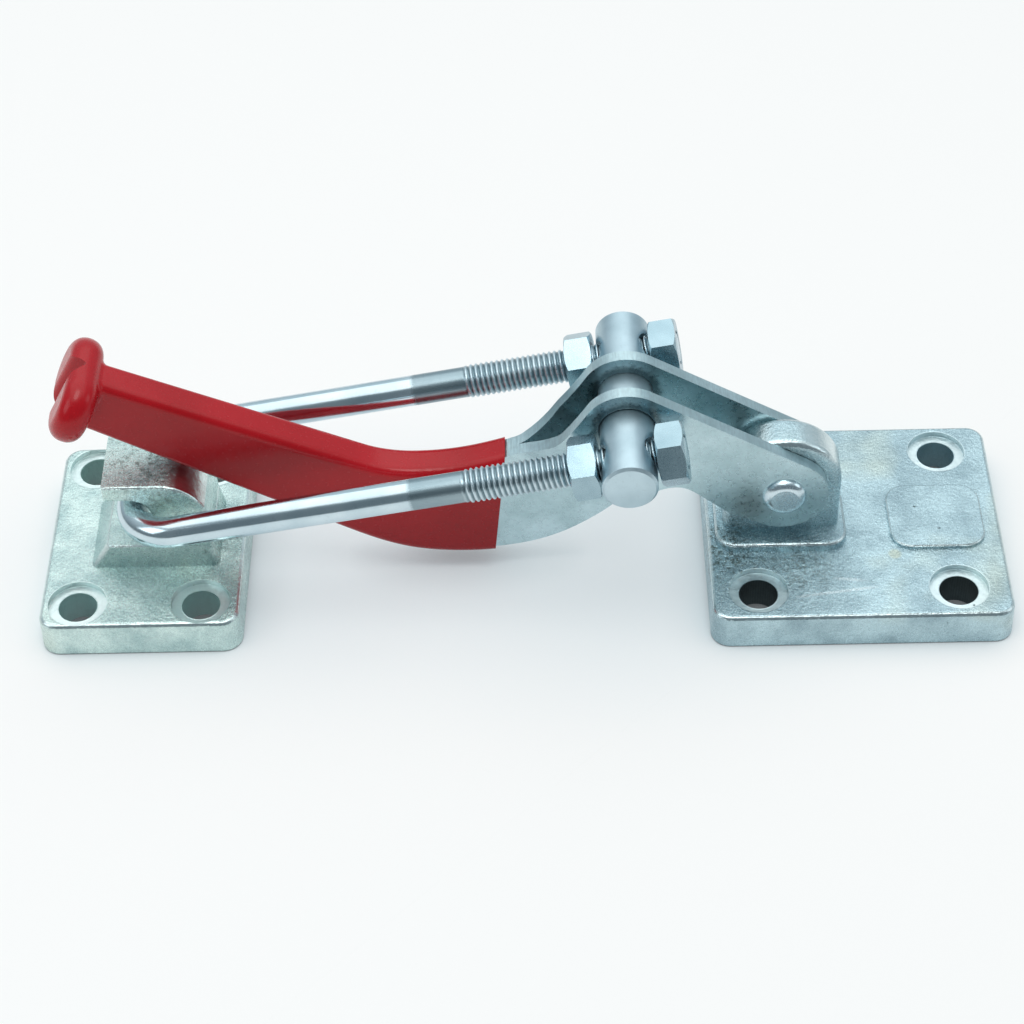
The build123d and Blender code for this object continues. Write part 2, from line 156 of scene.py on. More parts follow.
# %% Patterns
def millimetres(tree, stretch=(1, 1, 1), turn=0.0, centre=(0, 0, 0)):
    """Object coordinates in millimetres, turned about Y and stretched to draw out a grain."""
    from_centre = put(tree, "Mapping", {
        "Vector": put(tree, "TexCoord").outputs["Object"],
        "Location": [-value for value in centre],
    }).outputs["Vector"]
    turned = put(tree, "Mapping", {"Vector": from_centre, "Rotation": (0, turn, 0)})
    scale = [value / MM for value in stretch]
    return put(
        tree, "VectorMath", {0: turned.outputs["Vector"], 1: scale}, operation="MULTIPLY"
    ).outputs[0]


def noise(tree, where, scale, detail=3.0, rough=0.5):
    """Cloudy noise with so many lumps in a millimetre."""
    node = put(tree, "TexNoise", {
        "Vector": where, "Scale": scale, "Detail": detail, "Roughness": rough,
    })
    return node.outputs["Fac"]


def cells(tree, where, scale):
    """A Voronoi node: distance to scattered points, with a random colour for each."""
    return put(tree, "TexVoronoi", {"Vector": where, "Scale": scale})


def between(tree, value, low, high, to_low=0.0, to_high=1.0):
    """Maps a stretch of values to another, clamped at both ends."""
    node = put(tree, "MapRange", {
        "Value": value, "From Min": low, "From Max": high, "To Min": to_low, "To Max": to_high,
    })
    return node.outputs["Result"]


def math_node(tree, operation, first, second=0.0):
    """One sum, such as ADD, MULTIPLY or ABSOLUTE."""
    node = put(tree, "Math", {0: first, 1: second}, operation=operation)
    return node.outputs[0]


def mix_colour(tree, factor, first, second, blend="MIX"):
    """Mixes two colours by a factor; each is a triple or another node's output."""
    node = put(tree, "Mix", {"Factor": factor}, data_type="RGBA", blend_type=blend)
    for socket, colour in ((node.inputs[6], first), (node.inputs[7], second)):
        if isinstance(colour, bpy.types.NodeSocket):
            tree.links.new(colour, socket)
        else:
            socket.default_value = (*colour, 1)
    return node.outputs[2]


def bump(tree, height, depth, under=None, strength=1.0):
    """A bump of so many millimetres, laid over another one."""
    links = {"Height": height, "Distance": depth * MM, "Strength": strength}
    if under is not None:
        links["Normal"] = under
    return put(tree, "Bump", links).outputs["Normal"]


introduce(millimetres, noise, cells, between, math_node, mix_colour, bump)

# %% [markdown]
# ### Zinc on castings
# The two plates are cast, tumbled and zinc plated. Up close the skin is grained and
# sparkles, with wider soft lumps under it, a few small pits, and patches where the
# passivation shows a trace of straw yellow. The rounded upper edges and the seats round
# the screw holes get a painted highlight, a lighter colour than the skin. Painted shade
# darkens the base plate's near bores, and round spots in the grain beside and under other
# parts. All of these places are found from the object coordinates and the object's own
# normals, so no picture has to be wrapped on a casting.


# %% Places on a casting
def hole_distance(tree, where, centre_x, spacing_x, spacing_y):
    """Millimetres from the axis of the nearest of four screw holes."""
    axes = put(tree, "SeparateXYZ", {"Vector": where}).outputs
    along = math_node(tree, "ABSOLUTE", math_node(tree, "SUBTRACT", axes["X"], centre_x))
    along = math_node(tree, "SUBTRACT", along, spacing_x / 2)
    across = math_node(tree, "SUBTRACT", math_node(tree, "ABSOLUTE", axes["Y"]), spacing_y / 2)
    flat = put(tree, "CombineXYZ", {"X": along, "Y": across}).outputs["Vector"]
    return put(tree, "VectorMath", {0: flat}, operation="LENGTH").outputs["Value"]


def spot(tree, where, centre, radius, soft):
    """One inside a round patch, fading to nothing over a soft border."""
    away = put(tree, "VectorMath", {0: where, 1: centre}, operation="DISTANCE").outputs["Value"]
    return between(tree, away, radius - soft, radius + soft, 1.0, 0.0)


def scratch(tree, where, start, end, width):
    """One along a straight fine scratch between two points, nought beside it."""
    start, end = Vector(start), Vector(end)
    length = (end - start).length
    line = tuple((end - start) / length)
    offset = put(tree, "VectorMath", {0: where, 1: tuple(start)}, operation="SUBTRACT").outputs[0]
    along = put(tree, "VectorMath", {0: offset, 1: line}, operation="DOT_PRODUCT").outputs["Value"]
    foot = put(tree, "VectorMath", {0: line, "Scale": along}, operation="SCALE").outputs[0]
    away = put(tree, "VectorMath", {0: offset, 1: foot}, operation="DISTANCE").outputs["Value"]
    near = between(tree, away, width / 2, width, 1.0, 0.0)
    begun, ended = between(tree, along, 0, 2), between(tree, along, length - 4, length, 1.0, 0.0)
    return math_node(tree, "MULTIPLY", near, math_node(tree, "MULTIPLY", begun, ended))


def lit_upper_edges(tree):
    """One on edges that round over from a top face, where a painted highlight goes; nought on flats and walls."""
    normal = put(tree, "TexCoord").outputs["Normal"]
    up = put(tree, "SeparateXYZ", {"Vector": normal}).outputs["Z"]
    not_wall, not_flat = between(tree, up, 0.30, 0.50), between(tree, up, 0.90, 0.99, 1.0, 0.0)
    return math_node(tree, "MULTIPLY", not_wall, not_flat)


introduce(hole_distance, spot, scratch, lit_upper_edges)

# %% Skin of a casting
STRAW, DARK_GRAIN = (0.60, 0.62, 0.46), (0.26, 0.34, 0.36)
# the first colour below is painted shade for the grain beside and under other parts
GRAIN_SHADE_PAINT, PIT_FLOOR = (0.09, 0.11, 0.09), (0.13, 0.17, 0.17)


def plated_skin(tree, where, grain, dull, clean, straw_spots):
    """Cloudy zinc with a trace of straw yellow, darker between the grains."""
    clouds = noise(tree, where, 0.10, 5, 0.6)
    colour = mix_colour(tree, between(tree, clouds, 0.36, 0.62), dull, clean)
    straw = between(tree, noise(tree, where, 0.045, 2), 0.60, 0.74, 0.0, 0.35)
    for centre, radius in straw_spots:
        mark = math_node(tree, "MULTIPLY", spot(tree, where, centre, radius, 0.4), 0.55)
        straw = math_node(tree, "MAXIMUM", straw, mark)
    colour = mix_colour(tree, straw, colour, STRAW)
    return mix_colour(tree, between(tree, grain, 0.32, 0.56, 0.30, 0.0), colour, DARK_GRAIN)


def painted_grain_shade(tree, where, colour, shade_spots):
    """Painted shade in the grain, in round spots beside and under other parts."""
    grain_patches = between(tree, noise(tree, where, 0.9, 5, 0.7), 0.50, 0.62)
    for centre, radius in shade_spots:
        in_spot = spot(tree, where, centre, radius, radius * 0.8)
        here = math_node(tree, "MULTIPLY", in_spot, grain_patches)
        colour = mix_colour(tree, math_node(tree, "MULTIPLY", here, 0.8), colour, GRAIN_SHADE_PAINT)
    return colour


def pit_mask(tree, where, grain):
    """One in a few small hollows with torn outlines, nought around them."""
    ragged = between(tree, grain, 0.3, 0.7, -0.05, 0.05)
    field = cells(tree, where, 0.19)
    chance = put(tree, "SeparateColor", {"Color": field.outputs["Color"]}).outputs[0]
    size = between(tree, chance, 0.55, 1.0, 0.0, 0.085)
    away = math_node(tree, "ADD", field.outputs["Distance"], ragged)
    return between(tree, math_node(tree, "SUBTRACT", away, size), -0.03, 0.0, 1.0, 0.0)


introduce(plated_skin, painted_grain_shade, pit_mask)

# %% [markdown]
# The skin comes first, and the bright and the dark places are laid over it in this
# order: plating, painted shade and pits, then a painted highlight on the edges and seats,
# then scratches.

# %% Cast zinc
# the first colour below is a painted highlight for the upper edges and the seats
HIGHLIGHT_PAINT, SCRATCHED = (0.80, 0.90, 0.90), (0.80, 0.88, 0.90)
BORE_WALL = (4.45, 4.62)
SEAT_INSIDE, SEAT_OUTSIDE = (4.4, 4.7), (6.6, 7.2)


def cast_zinc(name, dull, clean, holes, near_bore, far_bore, shade_spots,
              straw_spots=(), scratches=()):
    """Plated casting. Holes gives the pattern's centre and its spacings in millimetres."""
    material, tree, shader = start_material(name, 1.0, 0.3)
    where = millimetres(tree)
    grain = noise(tree, where, 1.15, 6, 0.72)
    colour = plated_skin(tree, where, grain, dull, clean, straw_spots)
    # painted shade in round spots beside the lug and under the grip
    colour = painted_grain_shade(tree, where, colour, shade_spots)
    pit = pit_mask(tree, where, grain)
    colour = mix_colour(tree, math_node(tree, "MULTIPLY", pit, 0.75), colour, PIT_FLOOR)
    # painted highlight on the upper edges and the seats, then scratches
    edges = lit_upper_edges(tree)
    away = hole_distance(tree, where, *holes)
    seat = math_node(
        tree, "MULTIPLY",
        between(tree, away, *SEAT_INSIDE), between(tree, away, *SEAT_OUTSIDE, 0.9, 0.0))
    bright = math_node(tree, "MAXIMUM", edges, seat)
    colour = mix_colour(tree, math_node(tree, "MULTIPLY", bright, 0.65), colour, HIGHLIGHT_PAINT)
    for start, end in scratches:
        mark = math_node(tree, "MULTIPLY", scratch(tree, where, start, end, 0.5), 0.45)
        colour = mix_colour(tree, mark, colour, SCRATCHED)
    # the holes' walls, which may differ from the near side to the far side; the base plate's near walls are
    # painted nearly black as shade
    side = put(tree, "SeparateXYZ", {"Vector": where}).outputs["Y"]
    bore_colour = mix_colour(tree, between(tree, side, -1.0, 1.0), near_bore, far_bore)
    bore = between(tree, away, *BORE_WALL, 1.0, 0.0)
    colour = mix_colour(tree, bore, colour, bore_colour)
    tree.links.new(colour, shader.inputs["Base Color"])
    rough = between(tree, grain, 0.3, 0.7, 0.20, 0.32)
    rough = math_node(tree, "SUBTRACT", rough, math_node(tree, "MULTIPLY", edges, 0.08))
    rough = math_node(tree, "ADD", rough, math_node(tree, "MULTIPLY", seat, 0.10))
    rough = math_node(tree, "ADD", rough, math_node(tree, "MULTIPLY", bore, 0.25))
    tree.links.new(rough, shader.inputs["Roughness"])
    calm = between(tree, bright, 0.0, 1.0, 1.0, 0.35)
    skin = bump(tree, noise(tree, where, 0.22, 3), 0.35, strength=0.5)
    skin = bump(tree, math_node(tree, "MULTIPLY", grain, calm), 0.30, skin, 0.85)
    skin = bump(tree, pit, -0.25, skin)
    tree.links.new(skin, shader.inputs["Normal"])
    return material


introduce(cast_zinc)

# %% [markdown]
# The base plate is the duller casting, and its near bores are painted nearly black as
# shade. Spots of painted shade, the straw spot and scratches are given by points in
# millimetres, the spots with a radius too.

# %% The two castings
hole_pattern = {mount["name"]: mount for mount in frame["record"]["mounts"]}


def holes_of(mount):
    """Centre and spacings of a bolt pattern, in millimetres."""
    dims = hole_pattern[mount]["dims"]
    return hole_pattern[mount]["pos_m"][0] / MM, dims["spacing_x_mm"], dims["spacing_y_mm"]


# spots of painted shade: a centre and a radius in millimetres
shade_beside_lug = [((-33.0, -6.0, 9.5), 7.0), ((-30.0, -13.0, 9.5), 6.5), ((-14.0, -15.5, 9.5), 6.5)]
shade_under_grip = [
    ((-152.0, -11.0, 13.6), 0.9), ((-150.0, 0.0, 9.5), 7.0), ((-163.0, -2.0, 37.0), 12.0),
]
base_scratches = [
    ((-15.2, -24.9, 9.5), (5.4, -21.9, 9.5)), ((-6.0, -19.0, 9.5), (3.0, -20.2, 9.5)),
]
# the base plate's near bores are painted nearly black as shade
base_zinc = cast_zinc(
    "base_zinc", (0.35, 0.48, 0.53), (0.54, 0.71, 0.76), holes_of("base_bolts"),
    near_bore=(0.020, 0.026, 0.028), far_bore=(0.42, 0.62, 0.68), shade_spots=shade_beside_lug,
    straw_spots=[((9.5, -11.7, 9.5), 1.5)], scratches=base_scratches,
)
# painted shade in spots on the latch plate under the grip and on the hook's top
latch_zinc = cast_zinc(
    "latch_zinc", (0.46, 0.62, 0.61), (0.72, 0.88, 0.84), holes_of("latch_bolts"),
    near_bore=(0.70, 0.92, 0.90), far_bore=(0.70, 0.92, 0.88), shade_spots=shade_under_grip,
)
for finish in (base_zinc, latch_zinc):
    print(finish.name, "has", len(finish.node_tree.nodes), "nodes")


# %% [markdown]
# ### Zinc on stamped sheet
# The handle plates are stamped from smooth sheet. Their flat sides keep a calm satin
# with faint cloudy marks, their sheared edges show short lines across the sheet with a
# bright rim, and painted shade darkens the sheet round the cross pin.


# %% Sheet zinc
# the first colour below is painted shade for the sheet round the cross pin
PIN_SHADE_PAINT, SHEAR_LINE, MOTTLE = (0.09, 0.13, 0.14), (0.30, 0.37, 0.40), (0.36, 0.45, 0.48)
PIN_SHADE_BORDER = (7.5, 8.9)


def painted_pin_shade(tree, mottle):
    """One on the sheet round the cross pin's axis, where painted shade goes, with a ragged border in millimetres.
    """
    from_pin = put(
        tree, "VectorMath", {0: millimetres(tree, (1, 0, 1), centre=pin)}, operation="LENGTH"
    ).outputs["Value"]
    ragged = math_node(tree, "ADD", from_pin, between(tree, mottle, 0.3, 0.7, -0.5, 0.5))
    return between(tree, ragged, *PIN_SHADE_BORDER, 1.0, 0.0)


def sheet_zinc(name, dull, clean):
    """Plated sheet in the XZ plane, with sheared edges and painted shade round the pin."""
    material, tree, shader = start_material(name, 1.0, 0.3)
    where = millimetres(tree)
    clouds = noise(tree, where, 0.10, 4, 0.6)
    colour = mix_colour(tree, between(tree, clouds, 0.35, 0.65), dull, clean)
    mottle = noise(tree, where, 0.8, 5, 0.65)
    colour = mix_colour(tree, between(tree, mottle, 0.30, 0.55, 0.28, 0.0), colour, MOTTLE)
    # sheared edges are where the sheet's normal doesn't point sideways
    normal = put(tree, "TexCoord").outputs["Normal"]
    sideways = put(tree, "SeparateXYZ", {"Vector": normal}).outputs["Y"]
    edge = between(tree, math_node(tree, "ABSOLUTE", sideways), 0.35, 0.6, 1.0, 0.0)
    shear = noise(tree, millimetres(tree, (1, 0.12, 1)), 2.4, 3, 0.6)
    lined = math_node(tree, "MULTIPLY", between(tree, shear, 0.35, 0.65), edge)
    colour = mix_colour(tree, math_node(tree, "MULTIPLY", lined, 0.30), colour, SHEAR_LINE)
    # painted shade round the cross pin
    pin_shade = painted_pin_shade(tree, mottle)
    colour = mix_colour(tree, math_node(tree, "MULTIPLY", pin_shade, 0.80), colour, PIN_SHADE_PAINT)
    tree.links.new(colour, shader.inputs["Base Color"])
    rough = between(tree, mottle, 0.3, 0.7, 0.24, 0.34)
    rough = math_node(tree, "ADD", rough, math_node(tree, "MULTIPLY", edge, 0.06))
    tree.links.new(rough, shader.inputs["Roughness"])
    skin = bump(tree, mottle, 0.035, strength=0.6)
    skin = bump(tree, noise(tree, where, 0.12, 2), 0.12, skin, 0.5)
    skin = bump(tree, lined, 0.04, skin, 0.6)
    tree.links.new(skin, shader.inputs["Normal"])
    return material


zinc_sheet = sheet_zinc("sheet_zinc", (0.43, 0.58, 0.61), (0.57, 0.73, 0.77))
print(zinc_sheet.name, "has", len(zinc_sheet.node_tree.nodes), "nodes")

# %% [markdown]
# ### Bright bar
# The U-bolt, the cross pin and the rivet are drawn or turned bar under thin bright
# zinc. The grain is stretched along the bar, which turns highlights into long streaks.
# Painted shade darkens the roots of a thread, fading out with the distance from the
# leg's axis.


# %% Roots of a thread
# colour of the painted shade in the roots of a thread
ROOT_SHADE_PAINT = (0.10, 0.17, 0.20)


def thread_masks(tree, turn, offset, start, root, crest):
    """Two masks in millimetres: the dull stretch of both legs, and the painted shade in its roots."""
    place_on_bolt = millimetres(tree, turn=turn, centre=loop_end)
    axes = put(tree, "SeparateXYZ", {"Vector": place_on_bolt}).outputs
    across = math_node(tree, "SUBTRACT", math_node(tree, "ABSOLUTE", axes["Y"]), offset)
    from_leg = put(tree, "CombineXYZ", {"X": across, "Y": axes["Z"]}).outputs["Vector"]
    radius = put(tree, "VectorMath", {0: from_leg}, operation="LENGTH").outputs["Value"]
    threaded = between(tree, axes["X"], start, start + 1.0)
    root_shade = math_node(
        tree, "MULTIPLY", between(tree, radius, root, crest, 0.85, 0.0), threaded)
    # the end faces of the legs lie further in than any root and get no painted shade
    past_end_face = between(tree, radius, root - 0.25, root - 0.10)
    return threaded, math_node(tree, "MULTIPLY", root_shade, past_end_face)


introduce(thread_masks)

# %% Bright bar
BAR_SPECKS = (0.34, 0.42, 0.45)


def bright_bar(name, dull, clean, rough_range, stretch=(1, 1, 1), turn=0.0,
               grain_depth=0.010, threads=None):
    """Plated bar. Threads gives a leg's offset, where it turns dull, and two radii."""
    material, tree, shader = start_material(name, 1.0, 0.16)
    where = millimetres(tree)
    drawn = noise(tree, millimetres(tree, stretch, turn), 3.0, 4, 0.6)
    clouds = noise(tree, where, 0.09, 3)
    colour = mix_colour(tree, between(tree, clouds, 0.35, 0.65), dull, clean)
    specks = between(tree, noise(tree, where, 1.3, 5, 0.7), 0.58, 0.70, 0.0, 0.30)
    colour = mix_colour(tree, specks, colour, BAR_SPECKS)
    rough = between(tree, drawn, 0.3, 0.7, *rough_range)
    if threads:
        threaded, root_shade = thread_masks(tree, turn, *threads)
        # painted shade in the roots of the threads
        colour = mix_colour(tree, root_shade, colour, ROOT_SHADE_PAINT)
        rough = math_node(tree, "ADD", rough, math_node(tree, "MULTIPLY", threaded, 0.14))
    tree.links.new(colour, shader.inputs["Base Color"])
    tree.links.new(rough, shader.inputs["Roughness"])
    skin = bump(tree, drawn, grain_depth, strength=0.6)
    skin = bump(tree, noise(tree, where, 0.25, 2), 0.03, skin, 0.5)
    tree.links.new(skin, shader.inputs["Normal"])
    return material


introduce(bright_bar)

# %% [markdown]
# The U-bolt and the rivet are the brightest. The pin is turned and satin, and the nuts
# are the darkest. On the U-bolt the grain runs along the legs, which lean by the pull
# line's tilt, and on the pin it runs across the clamp. The legs turn dull over their
# threads and over the last 12.5 mm of bare bar before them.

# %% The four turned and drawn finishes
BRIGHT = {"dull": (0.54, 0.67, 0.73), "clean": (0.66, 0.78, 0.83)}
LEG_OFFSET, DULL_START = 17.4, 66.5
# radii where the painted shade in a thread's roots is deepest and where it ends
ROOT_SHADE_RADIUS, SHADE_END_RADIUS = 3.5, 3.85
rod_zinc = bright_bar(
    "rod_zinc", **BRIGHT, rough_range=(0.10, 0.24), stretch=(0.03, 1, 1), turn=rod_tilt,
    threads=(LEG_OFFSET, DULL_START, ROOT_SHADE_RADIUS, SHADE_END_RADIUS))
pin_zinc = bright_bar(
    "pin_zinc", (0.42, 0.55, 0.61), (0.55, 0.69, 0.75), (0.34, 0.46), stretch=(1, 0.25, 1),
    grain_depth=0.006)
rivet_zinc = bright_bar("rivet_zinc", **BRIGHT, rough_range=(0.18, 0.30))
nut_zinc = bright_bar(
    "nut_zinc", (0.31, 0.44, 0.50), (0.43, 0.58, 0.64), (0.22, 0.34), turn=rod_tilt,
    grain_depth=0.003)
for finish in (rod_zinc, pin_zinc, rivet_zinc, nut_zinc):
    print(finish.name, "has", len(finish.node_tree.nodes), "nodes")

# %% [markdown]
# ### Dipped vinyl
# The grip is steel dipped in soft red vinyl. It is evenly coloured and half glossy, with
# the faint orange peel and slow waves of a coat that set while it hung. Its shine is
# kept low, because a pale room in a strong shine would turn the red pink.


# %% Red vinyl
def red_vinyl(name, deep, light):
    """A soft dipped coat between two near reds."""
    material, tree, shader = start_material(name, 0.0, 0.34)
    where = millimetres(tree)
    clouds = noise(tree, where, 0.05, 3)
    colour = mix_colour(tree, between(tree, clouds, 0.3, 0.7), deep, light)
    tree.links.new(colour, shader.inputs["Base Color"])
    peel = noise(tree, where, 0.9, 3, 0.5)
    tree.links.new(between(tree, peel, 0.3, 0.7, 0.20, 0.29), shader.inputs["Roughness"])
    shader.inputs["Specular IOR Level"].default_value = 0.32
    skin = bump(tree, noise(tree, where, 0.10, 2), 0.20, strength=0.5)
    skin = bump(tree, peel, 0.02, skin, 0.6)
    tree.links.new(skin, shader.inputs["Normal"])
    return material


vinyl = red_vinyl("red_vinyl", (0.35, 0.003, 0.007), (0.42, 0.005, 0.011))
print(vinyl.name, "has", len(vinyl.node_tree.nodes), "nodes")


# %% [markdown]
# ## Dressing the carried-over pieces
# The engineering shapes of the plates, handle, pin, rivet, nuts and grip are already
# right, so they only change their finish. What the table doesn't name is a nut.

# %% Assign materials
finishes = {
    "base_plate": base_zinc, "latch_plate": latch_zinc,
    "near_handle_plate": zinc_sheet, "far_handle_plate": zinc_sheet,
    "trunnion_pin": pin_zinc, "pivot_rivet": rivet_zinc, "grip_sleeve": vinyl,
    "u_bolt": rod_zinc,
}
for name, piece in frame["nodes"].items():
    piece.data.materials.clear()
    piece.data.materials.append(finishes.get(name, nut_zinc))
print("dressed", len(frame["nodes"]), "pieces")

# %% [markdown]
# ## The threaded U-bolt
# The engineering model has plain cylinders for threads. Here the whole bolt is modelled:
# a round bar that is extruded and spun round its two bends, and two real helical threads.

# %% Sizes of the U-bolt
BAR_RADIUS = 3.6 * MM
THREAD_RADIUS = 3.95 * MM
THREAD_DEPTH = 0.5 * MM
THREAD_LENGTH = 51.0 * MM
PITCH = 1.25 * MM
BEND_RADIUS = 11.0 * MM
PIN_RADIUS, NUT_GAP, NUT_HEIGHT = 6.3 * MM, 0.5 * MM, 6.2 * MM
OVERLAP = 0.4 * MM
WELD = 0.001 * MM
QUARTER = math.radians(90)

leg_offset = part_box("u_bolt")[1].y - THREAD_RADIUS
leg_tip = (pin - loop_end).length + PIN_RADIUS + NUT_GAP + NUT_HEIGHT
thread_start = leg_tip - THREAD_LENGTH
print("legs", round(2 * leg_offset / MM, 2), "mm apart, threads from", round(thread_start / MM, 2),
      "to", round(leg_tip / MM, 2), "mm")

# %% [markdown]
# In its own flat frame the bolt's closed end lies along Y at X = 0, and its legs run to
# +X. A disc starts inside the near thread, is extruded down the leg, spun round one bend,
# extruded across, spun round the other bend, and extruded up the far leg.


# %% Bar of the U-bolt
def extrude(x, y):
    """Pulls the selected end of the bar on in a straight line."""
    bpy.ops.mesh.extrude_region_move(TRANSFORM_OT_translate={"value": (x, y, 0)})


def bend(centre_y):
    """Carries the selected end of the bar round a quarter turn."""
    bpy.ops.mesh.spin(
        steps=20, angle=QUARTER, center=(BEND_RADIUS, centre_y, 0), axis=(0, 0, 1))


bpy.ops.mesh.primitive_circle_add(
    vertices=48, radius=BAR_RADIUS, fill_type="NGON",
    location=(thread_start + OVERLAP, -leg_offset, 0), rotation=(0, QUARTER, 0),
)
bolt = bpy.context.object
bolt.name = "threaded_u_bolt"
place(bolt, bolt.matrix_world.copy())
edit(bolt, "FACE")
bpy.ops.mesh.select_all(action="SELECT")
extrude(BEND_RADIUS - thread_start - OVERLAP, 0)
bend(BEND_RADIUS - leg_offset)
extrude(0, 2 * (leg_offset - BEND_RADIUS))
bend(leg_offset - BEND_RADIUS)
extrude(thread_start + OVERLAP - BEND_RADIUS, 0)
bpy.ops.mesh.select_all(action="SELECT")
bpy.ops.mesh.remove_doubles(threshold=WELD)
bpy.ops.mesh.normals_make_consistent(inside=False)
bpy.ops.object.mode_set(mode="OBJECT")
print("bar:", [round(size / MM, 1) for size in bolt.dimensions], "mm")

# %% [markdown]
# A thread is one tooth shape carried along a helix. The tooth is drawn once, as a line of
# seven points a pitch long, and the Screw modifier winds it. The ends are cut square a
# little past a whole pitch, so that no cut runs exactly through points of the mesh. The
# cut's threshold is set far below the usual tenth of a millimetre, which is coarser than
# this mesh and would leave flakes. Each open end is then closed by a fan: its rim is
# extruded and the new rim merged to a point.


# %% The tooth
ROOT_RADIUS = THREAD_RADIUS - THREAD_DEPTH
SIDE_LOW, SIDE_HIGH = ROOT_RADIUS + 0.15 * THREAD_DEPTH, THREAD_RADIUS - 0.10 * THREAD_DEPTH
TOOTH = [
    (0, ROOT_RADIUS), (0.14, SIDE_LOW), (0.40, SIDE_HIGH), (0.50, THREAD_RADIUS),
    (0.60, SIDE_HIGH), (0.86, SIDE_LOW), (1, ROOT_RADIUS),
]


def tooth_line():
    """One side of a plane, cut into seven points that follow the tooth up the Z axis."""
    bpy.ops.mesh.primitive_plane_add(size=PITCH, location=(0, 0, 0))
    line = bpy.context.object
    edit(line)
    bpy.ops.object.mode_set(mode="OBJECT")
    for vertex in line.data.vertices:
        vertex.select = vertex.co.x < 0
    bpy.ops.object.mode_set(mode="EDIT")
    bpy.ops.mesh.delete(type="VERT")
    bpy.ops.mesh.select_all(action="SELECT")
    bpy.ops.mesh.subdivide(number_cuts=len(TOOTH) - 2)
    bpy.ops.object.mode_set(mode="OBJECT")
    by_height = sorted(line.data.vertices, key=lambda vertex: vertex.co.y)
    for vertex, (along, out) in zip(by_height, TOOTH):
        vertex.co = (out, 0, along * PITCH)
    return line


introduce(tooth_line)

# %% Ends of a thread
FIRST_CUT = 1.03 * PITCH
RUN_OUT = 1.5 * PITCH
TIP_RADIUS = THREAD_RADIUS - 0.75 * MM


def close_end(height, **removed):
    """Cuts the thread square at a height, removes what lies past it and closes the end."""
    bpy.ops.mesh.select_all(action="SELECT")
    bpy.ops.mesh.bisect(
        plane_co=(0, 0, height), plane_no=(0, 0, 1), threshold=WELD, **removed)
    bpy.ops.mesh.extrude_edges_move()
    bpy.ops.mesh.merge(type="CENTER")


def shape_ends(piece):
    """Lifts the first turn and a half out of the bar, and turns the tip to a cone."""
    for vertex in piece.data.vertices:
        along = vertex.co.z - FIRST_CUT
        out = math.hypot(vertex.co.x, vertex.co.y)
        if out < ROOT_RADIUS / 2:
            continue
        wanted = out + (BAR_RADIUS - out) * max(0.0, 1 - along / RUN_OUT)
        wanted = min(wanted, TIP_RADIUS + (THREAD_LENGTH - along))
        vertex.co.x *= wanted / out
        vertex.co.y *= wanted / out


introduce(close_end, shape_ends)

# %% Two threads
TURNS = math.ceil(THREAD_LENGTH / PITCH) + 2
START_ANGLE = 0.7


def thread(side):
    """A closed M8 thread on the leg at one side, with a chamfered tip and a run-out."""
    piece = tooth_line()
    apply_modifier(
        piece, "SCREW", axis="Z", angle=2 * math.pi, screw_offset=PITCH, iterations=TURNS,
        steps=40, render_steps=40, use_merge_vertices=True, merge_threshold=WELD,
        use_smooth_shade=True,
    )
    edit(piece)
    bpy.ops.mesh.select_all(action="SELECT")
    bpy.ops.mesh.remove_doubles(threshold=WELD)
    close_end(FIRST_CUT, clear_inner=True)
    close_end(FIRST_CUT + THREAD_LENGTH, clear_outer=True)
    bpy.ops.mesh.select_all(action="SELECT")
    bpy.ops.mesh.normals_make_consistent(inside=False)
    bpy.ops.object.mode_set(mode="OBJECT")
    shape_ends(piece)
    onto_leg = Matrix.Translation((thread_start - FIRST_CUT, side * leg_offset, 0))
    lying = Matrix.Rotation(QUARTER, 4, "Y") @ Matrix.Rotation(side * START_ANGLE, 4, "Z")
    place(piece, onto_leg @ lying)
    return piece


threads = [thread(-1), thread(1)]
print("thread:", len(threads[0].data.polygons), "faces each")

# %% [markdown]
# The two threads and the bar become one piece, which is turned by the pull line's tilt
# and set on the loop point. It then rides on the U-bolt's body in place of the plain one.

# %% Join the bolt and put it on its pull line
pick(bolt)
for piece in threads:
    piece.select_set(True)
bpy.ops.object.join()
place(bolt, Matrix.Translation(loop_end) @ Matrix.Rotation(-rod_tilt, 4, "Y"))
bpy.ops.object.shade_smooth_by_angle(angle=math.radians(62))
bolt.data.materials.clear()
bolt.data.materials.append(rod_zinc)
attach(bolt, "u_bolt")
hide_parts("u_bolt")
print("U-bolt box:", [round(size / MM, 1) for size in bolt.dimensions], "mm")

# %% [markdown]
# ## Floor, light and camera
# The clamp stands on plain white card under a big soft light, with weaker ones at its
# sides. The card is lit, but also glows a little where the camera or a polished surface
# looks at it, which keeps it near white and its shadow pale. Ambient occlusion takes the
# glow out of the screw holes and from under the plates, where no light gets in, and
# darkens the card's colour there as painted shade; a wider one paints a blue tint into
# the shadow.

# %% Floor
CREVICE, SHELTER = 12 * MM, 60 * MM
# the second colour below is painted shade for the holes and close under the plates
PAPER, HOLE_SHADE_PAINT, SHADOW_TINT = (0.99, 0.93, 0.88), (0.04, 0.05, 0.05), (0.66, 0.86, 0.97)
GLOW_SHARE = 0.55

bpy.ops.mesh.primitive_plane_add(size=12, location=(0, 0, 0))
floor = bpy.context.object
floor.name = "white_card"
card = bpy.data.materials.new("white_card")
card.use_nodes = True
tree = card.node_tree
tree.nodes.clear()
crevice = put(tree, "AmbientOcclusion", {"Distance": CREVICE}).outputs["AO"]
